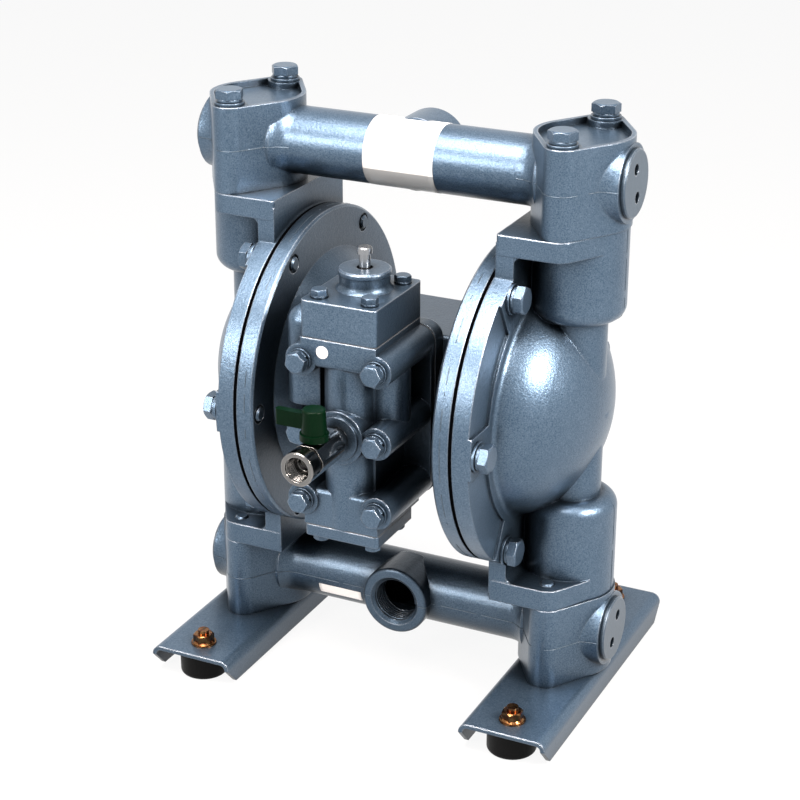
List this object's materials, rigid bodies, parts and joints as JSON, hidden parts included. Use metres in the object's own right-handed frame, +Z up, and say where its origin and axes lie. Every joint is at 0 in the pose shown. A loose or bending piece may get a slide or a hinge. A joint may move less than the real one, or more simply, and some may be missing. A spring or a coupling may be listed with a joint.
{
  "type": "air operated double diaphragm pump",
  "caption": "Air operated double diaphragm pump with cast chambers and manifolds, a front air valve with ball valve inlet, and a base of two channels on rubber feet.",
  "frame": {"origin": "centre of the footprint and of the bounding box, on the floor under the rubber feet", "axes": "+X along the piston rod to the right, -Y to the front with the air valve and the suction port, +Z up"},
  "size_m": [0.3108, 0.343, 0.4126],
  "materials": {
    "cast_paint": "metallic silver grey paint over an aluminium casting",
    "bolt_paint": "painted over with the castings",
    "plug_paint": "painted aluminium",
    "channel_paint": "painted sheet steel",
    "black_rubber": "moulded",
    "foot_rubber": "moulded",
    "steel": "machined",
    "chrome": "plated",
    "zinc": "yellow passivated zinc",
    "bare_aluminium": "machined",
    "brass": "turned",
    "lever_green": "painted dark green",
    "white_plastic": "moulded",
    "gasket": "pressed sheet",
    "silencer_plastic": "moulded"
  },
  "bodies": {
    "housing": {"discharge_manifold": "cast_paint", "suction_manifold": "cast_paint", "manifold_plugs": "plug_paint", "out_chamber_left": "cast_paint", "out_chamber_right": "cast_paint", "air_chamber_left": "cast_paint", "air_chamber_right": "cast_paint", "diaphragm_left": "black_rubber", "diaphragm_right": "black_rubber", "rod_bushings": "brass", "rod_seals": "black_rubber", "center_body": "cast_paint", "body_screws": "steel", "pilot_spring_left": "steel", "pilot_spring_right": "steel", "pilot_bushings": "brass", "valve_body": "cast_paint", "valve_gasket": "gasket", "valve_cap": "cast_paint", "bottom_cap": "cast_paint", "cap_gaskets": "gasket", "spool_sleeve": "brass", "reset_spring": "steel", "valve_bolts": "bolt_paint", "cap_bolts": "bolt_paint", "inlet_valve_body": "chrome", "inlet_valve_end": "chrome", "inlet_seats": "white_plastic", "valve_seats": "white_plastic", "ball_cages": "white_plastic", "joint_o_rings": "black_rubber", "chamber_bolts": "bolt_paint", "manifold_bolts": "bolt_paint", "base_channel_left": "channel_paint", "base_channel_right": "channel_paint", "rubber_feet": "foot_rubber", "foot_bolts": "steel", "foot_nuts": "zinc", "exhaust_silencer": "silencer_plastic"},
    "shaft_assembly": {"center_rod": "steel", "rod_nuts": "steel", "inner_disk_left": "bare_aluminium", "inner_disk_right": "bare_aluminium", "outer_disk_left": "bare_aluminium", "outer_disk_right": "bare_aluminium"},
    "pilot_left": {"pilot_pin_left": "steel"},
    "pilot_right": {"pilot_pin_right": "steel"},
    "spool_body": {"spool": "bare_aluminium"},
    "button_body": {"reset_button": "bolt_paint"},
    "lever_body": {"lever": "lever_green", "inlet_stem": "steel", "inlet_ball": "chrome"},
    "suction_left": {"suction_ball_left": "white_plastic"},
    "suction_right": {"suction_ball_right": "white_plastic"},
    "discharge_left": {"discharge_ball_left": "white_plastic"},
    "discharge_right": {"discharge_ball_right": "white_plastic"}
  },
  "joints": [
    {"name": "shaft_stroke", "type": "slide", "parent": "housing", "child": "shaft_assembly", "axis": [1, 0, 0], "range_m": [-0.009, 0.009], "deforming": ["diaphragm_left", "diaphragm_right"]},
    {"name": "pilot_left_push", "type": "slide", "parent": "housing", "child": "pilot_left", "axis": [1, 0, 0], "range_m": [0, 0.002], "deforming": ["pilot_spring_left"]},
    {"name": "pilot_right_push", "type": "slide", "parent": "housing", "child": "pilot_right", "axis": [-1, 0, 0], "range_m": [0, 0.002], "deforming": ["pilot_spring_right"]},
    {"name": "reset_push", "type": "slide", "parent": "housing", "child": "button_body", "axis": [0, 0, 1], "range_m": [-0.006, 0], "deforming": ["reset_spring"]},
    {"name": "spool_shift", "type": "slide", "parent": "housing", "child": "spool_body", "axis": [0, 0, 1], "range_m": [-0.006, 0]},
    {"name": "inlet_lever", "type": "hinge", "parent": "housing", "child": "lever_body", "pos_m": [0, -0.1475, 0.212], "axis": [0, 0, 1], "range_deg": [0, 90]},
    {"name": "suction_left_lift", "type": "slide", "parent": "housing", "child": "suction_left", "axis": [0, 0, 1], "range_m": [0, 0.008]},
    {"name": "suction_right_lift", "type": "slide", "parent": "housing", "child": "suction_right", "axis": [0, 0, 1], "range_m": [0, 0.008]},
    {"name": "discharge_left_lift", "type": "slide", "parent": "housing", "child": "discharge_left", "axis": [0, 0, 1], "range_m": [0, 0.008]},
    {"name": "discharge_right_lift", "type": "slide", "parent": "housing", "child": "discharge_right", "axis": [0, 0, 1], "range_m": [0, 0.008]}
  ],
  "couplings": [
    {"joint": "spool_shift", "follows": "reset_push", "ratio": 1}
  ]
}
